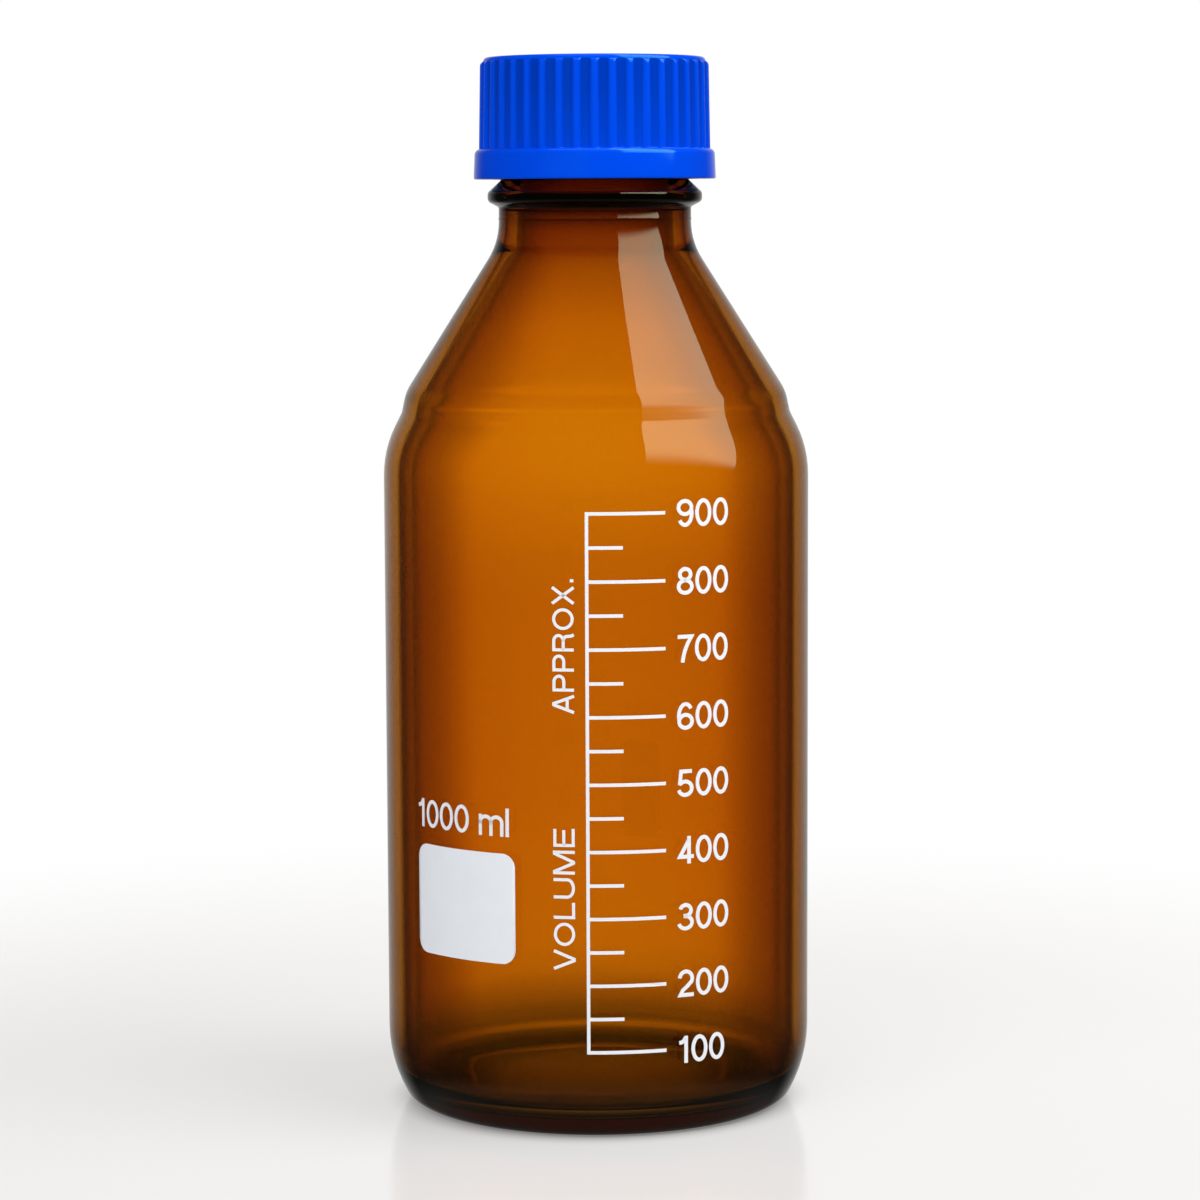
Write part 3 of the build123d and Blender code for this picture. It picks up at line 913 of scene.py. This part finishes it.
class BOTTLE_OT_print(bpy.types.Operator):
    """Fire the white scale, figures and words on the glass"""

    bl_idname = "media_bottle.print"
    bl_label = "Enamel print"

    def execute(self, context):
        settings = context.scene.media_bottle
        enamel, radius = settings.enamel, settings.glass.body_radius
        material = fired_enamel(tuple(enamel.colour))
        for node in ("graduation_scale", "marking_panel"):
            bm = cad_copy(node)
            for vert in bm.verts:
                reach = hypot(vert.co.x, vert.co.y)
                if reach < radius + enamel.thickness / 2:
                    vert.co.xy *= (radius - enamel.sink) / reach
            sharp_piece(node + "_fired", bm, material, "bottle", "white_enamel", node)
        figures = bmesh.new()
        height = enamel.numeral_height
        for mark in range(MARK_COUNT):
            level = enamel.lowest + mark * enamel.step - height / 2 - FIGURE_DROP
            write(figures, f"{mark + 1}00", height, 0.075, (enamel.numeral_angle * radius, level))
        printed("scale_figures", figures, enamel, radius, material)
        words = bmesh.new()
        for text, level, length in WORDS:
            write(words, text, enamel.word_height, 0.15, (enamel.word_angle * radius, level), length, True)
        printed("scale_words", words, enamel, radius, material)
        capacity = bmesh.new()
        write(capacity, "1000 ml", enamel.capacity_height, 0.07,
              (enamel.capacity_angle * radius, enamel.capacity_level), weight=0.9)
        printed("capacity_figures", capacity, enamel, radius, material)
        return {"FINISHED"}


# Stage

TABLE_PAINTED_SHADOW = (0.036, 0.05)  # where the table's glow sets in, past a painted shadow under the base where the glow is held back
TABLE_PLAIN = 0.14         # how far out the table stays a table before it turns into the backdrop
LAMP_FADE = 0.12           # share of a lamp's height over which its lower edge fades
# Lower corner, directions of the lower and the upright edge, width, height and colour of each lamp
KEY_LAMP = ((0.2648, -0.535, 0.327), (0.983, 0.185, 0.0), (-0.079, 0.42, 0.904), 1.28, 1.57, (1.0, 1.0, 0.97))
FILL_LAMP = ((-1.0, -0.9, 0.1), (0.94, -0.34, 0.0), (0.1, 0.28, 0.95), 0.9, 0.9, (0.96, 0.98, 1.0))


def seen(tree, *kinds):
    """1 for camera rays and the other given kinds of ray, otherwise 0."""
    outputs = [tree.node("ShaderNodeLightPath", out=kind) for kind in kinds]
    total = outputs[0]
    for other in outputs[1:]:
        total = total.math("MAXIMUM", other)
    return total


def white_table(studio):
    """Pale glossy table that keeps a soft shadow and a faint reflection, and a painted shadow under the base
    where its glow is held back.
    """
    material = bpy.data.materials.new("table_white")
    tree = Tree(material)
    reach = tree.reach(tree.place())
    # Painted shadow: the glow is held back under the base
    past_painted_shadow = tree.ease(reach, *TABLE_PAINTED_SHADOW)
    far = tree.ease(reach, TABLE_PLAIN, studio.table_radius * 0.95)
    shown = seen(tree, "Is Camera Ray", "Is Transmission Ray")
    plain = tree.node("ShaderNodeBsdfPrincipled", None, Base_Color=(studio.table,) * 3, Roughness=0.14,
                      IOR=1.45)
    glow = tree.node("ShaderNodeEmission", None, Color=(1.0, 0.973, 0.955),
                     Strength=shown * past_painted_shadow * studio.table_glow)
    near = tree.node("ShaderNodeAddShader", None, plain, glow)
    white = tree.node("ShaderNodeEmission", None, Color=(1.0, 1.0, 1.0), Strength=shown)
    tree.finish(tree.node("ShaderNodeMixShader", None, far, near, white))
    return material


def white_room(studio):
    """World: a white backdrop behind everything, a dim room in front, soft light on plain surfaces."""
    world = bpy.data.worlds.new("studio_room")
    tree = Tree(world)
    white = seen(tree, "Is Camera Ray", "Is Transmission Ray")
    gloss = tree.node("ShaderNodeLightPath", out="Is Glossy Ray")
    way = tree.node("ShaderNodeTexCoord")
    height = tree.axis(way, 2)
    behind = tree.node("ShaderNodeMapRange", None, tree.axis(way, 1), 0.66, 1.0) ** 1.6
    ceiling = tree.ease(height, 0.88, 0.95) * studio.ceiling
    below = tree.ease(height, -0.4, -0.6, 0.0, 0.1)
    shine = studio.gloss_sky + behind * (studio.backdrop - studio.gloss_sky) + ceiling + below
    strength = white + (1.0 - white) * (studio.sky + gloss * (shine - studio.sky))
    tree.finish(tree.node("ShaderNodeBackground", None, (1.0, 1.0, 1.0), strength), output="World")
    return world


def soft_lamp(name, power, corner, along, up, width, height, colour):
    """A rectangular soft lamp from its lower corner and the directions of its edges."""
    lamp = bpy.data.lights.new(name, "AREA")
    lamp.shape = "RECTANGLE"
    lamp.size, lamp.size_y, lamp.energy, lamp.color = width, height, power, colour
    tree = Tree(lamp)
    upward = tree.axis(tree.node("ShaderNodeNewGeometry", out=5), 1)
    soft = tree.ease(upward, 0.0, LAMP_FADE)
    tree.finish(tree.node("ShaderNodeEmission", None, Strength=soft), output="Light")
    holder = bpy.data.objects.new(name, lamp)
    along, up = Vector(along).normalized(), Vector(up).normalized()
    middle = Vector(corner) + along * (width / 2) + up * (height / 2)
    holder.matrix_world = Matrix((along, up, along.cross(up))).transposed().to_4x4()
    holder.matrix_world.translation = middle
    holder.visible_camera = holder.visible_transmission = False
    bpy.context.scene.collection.objects.link(holder)
    return holder


class BOTTLE_OT_stage(bpy.types.Operator):
    """Set the table, the room, the lamps and the camera"""

    bl_idname = "media_bottle.stage"
    bl_label = "Studio"

    def execute(self, context):
        scene, studio = context.scene, context.scene.media_bottle.studio
        bm = bmesh.new()
        bmesh.ops.create_circle(bm, cap_ends=True, segments=TABLE_STEPS, radius=studio.table_radius)
        bmesh.ops.translate(bm, verts=bm.verts, vec=(0, 0, -FLOOR_DROP))
        new_piece("table", bm, white_table(studio), None, None).visible_glossy = False
        scene.world = white_room(studio)
        soft_lamp("key_right", studio.key_power, *KEY_LAMP)
        soft_lamp("fill_front", studio.fill_power, *FILL_LAMP).visible_glossy = False
        camera = bpy.data.objects.new("camera", bpy.data.cameras.new("camera"))
        camera.data.lens, camera.data.sensor_width = studio.lens, 36.0
        tilt = Matrix.Rotation(pi / 2 - studio.camera_pitch, 4, "X")
        roll = Matrix.Rotation(studio.camera_roll, 4, "Z")
        camera.matrix_world = Matrix.Translation(studio.camera_place) @ tilt @ roll
        scene.collection.objects.link(camera)
        scene.camera = camera
        scene.view_settings.view_transform = "Standard"
        return {"FINISHED"}


class BOTTLE_PT_panel(bpy.types.Panel):
    """Lists the pieces of the bottle"""

    bl_idname = "BOTTLE_PT_panel"
    bl_label = "Media Bottle"
    bl_space_type = "VIEW_3D"
    bl_region_type = "UI"
    bl_category = "Media Bottle"

    def draw(self, context):
        for operator in OPERATORS:
            self.layout.operator(operator.bl_idname)


OPERATORS = (BOTTLE_OT_stage, BOTTLE_OT_glass, BOTTLE_OT_print, BOTTLE_OT_seal, BOTTLE_OT_cap)
CLASSES = (GlassSettings, CapSettings, PrintSettings, StudioSettings, BottleSettings,
           *OPERATORS, BOTTLE_PT_panel)


def register():
    for cls in CLASSES:
        bpy.utils.register_class(cls)
    bpy.types.Scene.media_bottle = bpy.props.PointerProperty(type=BottleSettings)


def unregister():
    del bpy.types.Scene.media_bottle
    for cls in reversed(CLASSES):
        bpy.utils.unregister_class(cls)


def main():
    register()
    for operator in OPERATORS:
        group, name = operator.bl_idname.split(".")
        getattr(getattr(bpy.ops, group), name)()


if __name__ == "__main__":
    main()
